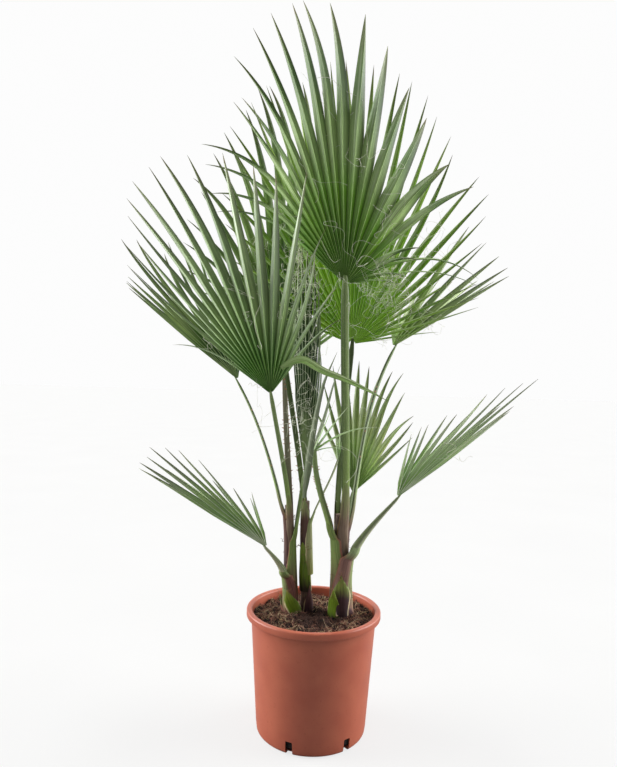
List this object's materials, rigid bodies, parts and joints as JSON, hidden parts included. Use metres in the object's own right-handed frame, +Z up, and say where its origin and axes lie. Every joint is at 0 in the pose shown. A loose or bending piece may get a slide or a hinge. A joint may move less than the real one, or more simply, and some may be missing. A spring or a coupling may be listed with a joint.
{
  "type": "potted fan palm",
  "caption": "Tall potted Mexican fan palm: slim clustered stems with toothed leaf stalks and wide pleated fan fronds, in a round tapering nursery pot with a turned-down lip.",
  "frame": {"origin": "centre of the pot's flat underside, on the surface that the pot stands on", "axes": "+Z up, -Y towards the front of the plant as pictured, +X to the right of that view"},
  "size_m": [0.8189, 0.5544, 1.2439],
  "materials": {
    "pot": "terracotta-coloured satin plastic, smooth, faint moulding marks",
    "compost": "dark brown bark compost with pale fibres, matte",
    "stem": "purple-brown fibrous leaf sheaths, matte",
    "boot": "cut leaf bases, olive green with brown margins, matte",
    "petiole": "smooth green leaf stalk with brown toothed margins, satin",
    "frond": "pleated green leaf, silvery towards the tips, satin"
  },
  "bodies": {
    "root": {"boot_left_front": "boot", "boot_left_side": "boot", "boot_middle_front": "boot", "boot_right_foot": "boot", "boot_right_front": "boot", "boot_right_side": "boot", "frond_back": "frond", "frond_back_high": "frond", "frond_back_left": "frond", "frond_back_right": "frond", "frond_front_high": "frond", "frond_front_left": "frond", "frond_front_left_strap": "frond", "frond_inner_left": "frond", "frond_inner_right": "frond", "frond_low_left": "frond", "frond_low_right": "frond", "frond_right": "frond", "frond_small": "frond", "frond_young_spear": "frond", "petiole_back": "petiole", "petiole_back_high": "petiole", "petiole_back_left": "petiole", "petiole_back_right": "petiole", "petiole_front_high": "petiole", "petiole_front_left": "petiole", "petiole_inner_left": "petiole", "petiole_inner_right": "petiole", "petiole_low_left": "petiole", "petiole_low_right": "petiole", "petiole_right": "petiole", "petiole_small": "petiole", "petiole_young_spear": "petiole", "pot": "pot", "soil": "compost", "stem_left": "stem", "stem_middle": "stem", "stem_right": "stem"}
  },
  "joints": []
}
